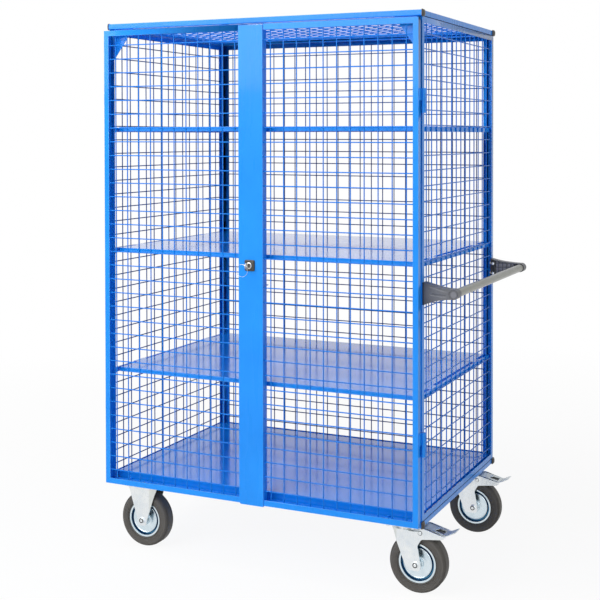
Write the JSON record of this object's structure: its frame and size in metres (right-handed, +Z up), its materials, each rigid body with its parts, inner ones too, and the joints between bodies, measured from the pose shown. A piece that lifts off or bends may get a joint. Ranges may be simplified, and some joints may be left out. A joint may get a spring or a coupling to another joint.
{
  "type": "mesh cage trolley",
  "caption": "Tall wheeled cage of angle-iron frames and welded wire mesh with double doors and a rod lock, sheet shelves and deck, a side push handle and fixed and braked swivel casters.",
  "frame": {"origin": "floor level, at the middle of the overall length and depth", "axes": "+Z up, +X towards the push handle along the cage, +Y from the doors to the back"},
  "size_m": [1.3738, 0.86, 1.9228],
  "materials": {
    "blue_paint": "glossy blue powder coat",
    "shelf_paint": "glossy blue powder coat on sheet",
    "zinc": "bright zinc plate",
    "tyre_rubber": "solid rubber, matte",
    "arm_plastic": "dark grey moulded plastic",
    "black_plastic": "black moulded plastic",
    "grey_coat": "warm grey coated steel tube",
    "lock_black": "black escutcheon",
    "key_steel": "nickel plated"
  },
  "bodies": {
    "cage": {"base_frame": "blue_paint", "right_caster_channel": "blue_paint", "left_caster_channel": "blue_paint", "roof_frame": "blue_paint", "roof_mesh": "blue_paint", "left_panel_frame": "blue_paint", "left_panel_mesh": "blue_paint", "right_panel_frame": "blue_paint", "right_panel_mesh": "blue_paint", "back_panel_frame": "blue_paint", "back_panel_mesh": "blue_paint", "front_gussets": "blue_paint", "shelf_rails": "blue_paint", "left_post_hinges": "blue_paint", "right_post_hinges": "blue_paint", "base_deck": "shelf_paint", "bottom_shelf": "shelf_paint", "middle_shelf": "shelf_paint", "top_shelf": "shelf_paint", "frame_plugs": "black_plastic", "front_handle_arm": "arm_plastic", "rear_handle_arm": "arm_plastic", "handle_pads": "black_plastic", "handle_tube": "grey_coat", "handle_screws": "zinc", "front_left_fork": "zinc", "rear_left_fork": "zinc", "front_left_axle": "zinc", "rear_left_axle": "zinc", "front_right_swivel_plate": "zinc", "rear_right_swivel_plate": "zinc", "caster_bolts": "zinc"},
    "left_door": {"left_door_frame": "blue_paint", "left_door_mesh": "blue_paint", "left_door_knuckles": "blue_paint"},
    "right_door": {"right_door_frame": "blue_paint", "right_door_mesh": "blue_paint", "right_door_knuckles": "blue_paint", "cover_plate": "blue_paint", "lock_housing": "lock_black"},
    "lock": {"lock_cam": "zinc", "lock_key": "key_steel"},
    "ring": {"key_ring": "key_steel"},
    "upper_rod": {"upper_lock_rod": "zinc"},
    "lower_rod": {"lower_lock_rod": "zinc"},
    "front_left_wheel": {"front_left_rim": "zinc", "front_left_tyre": "tyre_rubber"},
    "front_right_swivel": {"front_right_fork": "zinc", "front_right_axle": "zinc"},
    "front_right_wheel": {"front_right_rim": "zinc", "front_right_tyre": "tyre_rubber"},
    "front_right_brake": {"front_right_brake_pedal": "zinc"},
    "rear_left_wheel": {"rear_left_rim": "zinc", "rear_left_tyre": "tyre_rubber"},
    "rear_right_swivel": {"rear_right_fork": "zinc", "rear_right_axle": "zinc"},
    "rear_right_wheel": {"rear_right_rim": "zinc", "rear_right_tyre": "tyre_rubber"},
    "rear_right_brake": {"rear_right_brake_pedal": "zinc"}
  },
  "joints": [
    {"name": "right_door_hinge", "type": "hinge", "parent": "cage", "child": "right_door", "pos_m": [0.5647, -0.3655, 1.0665], "axis": [0, 0, 1], "range_deg": [0, 115]},
    {"name": "left_door_hinge", "type": "hinge", "parent": "cage", "child": "left_door", "pos_m": [-0.6799, -0.3655, 1.0665], "axis": [0, 0, -1], "range_deg": [0, 115]},
    {"name": "lock_turn", "type": "hinge", "parent": "right_door", "child": "lock", "pos_m": [-0.0626, -0.3955, 1.066], "axis": [0, -1, 0], "range_deg": [0, 90]},
    {"name": "upper_rod_slide", "type": "slide", "parent": "right_door", "child": "upper_rod", "axis": [0, 0, 1], "range_m": [0, 0.01273]},
    {"name": "lower_rod_slide", "type": "slide", "parent": "right_door", "child": "lower_rod", "axis": [0, 0, -1], "range_m": [0, 0.01273]},
    {"name": "key_ring_swing", "type": "hinge", "parent": "lock", "child": "ring", "pos_m": [-0.0626, -0.42425, 1.066], "axis": [-1, 0, 0], "range_deg": [-15, 40]},
    {"name": "front_left_wheel_spin", "type": "hinge", "parent": "cage", "child": "front_left_wheel", "pos_m": [-0.5496, -0.3065, 0.1], "axis": [0, 1, 0], "continuous": true},
    {"name": "front_right_swivel_turn", "type": "hinge", "parent": "cage", "child": "front_right_swivel", "pos_m": [0.4784, -0.3065, 0.218], "axis": [0, 0, 1], "continuous": true},
    {"name": "front_right_wheel_spin", "type": "hinge", "parent": "front_right_swivel", "child": "front_right_wheel", "pos_m": [0.5284, -0.3065, 0.1], "axis": [0, 1, 0], "continuous": true},
    {"name": "front_right_brake_press", "type": "hinge", "parent": "front_right_swivel", "child": "front_right_brake", "pos_m": [0.5444, -0.3065, 0.207], "axis": [0, 1, 0], "range_deg": [0, 12]},
    {"name": "rear_left_wheel_spin", "type": "hinge", "parent": "cage", "child": "rear_left_wheel", "pos_m": [-0.5496, 0.2915, 0.1], "axis": [0, 1, 0], "continuous": true},
    {"name": "rear_right_swivel_turn", "type": "hinge", "parent": "cage", "child": "rear_right_swivel", "pos_m": [0.4784, 0.2915, 0.218], "axis": [0, 0, 1], "continuous": true},
    {"name": "rear_right_wheel_spin", "type": "hinge", "parent": "rear_right_swivel", "child": "rear_right_wheel", "pos_m": [0.5284, 0.2915, 0.1], "axis": [0, 1, 0], "continuous": true},
    {"name": "rear_right_brake_press", "type": "hinge", "parent": "rear_right_swivel", "child": "rear_right_brake", "pos_m": [0.5444, 0.2915, 0.207], "axis": [0, 1, 0], "range_deg": [0, 12]}
  ],
  "couplings": [
    {"joint": "left_door_hinge", "follows": "right_door_hinge", "ratio": 1},
    {"joint": "upper_rod_slide", "follows": "lock_turn", "m_per_rad": 0.0081028},
    {"joint": "lower_rod_slide", "follows": "lock_turn", "m_per_rad": 0.0081028}
  ]
}
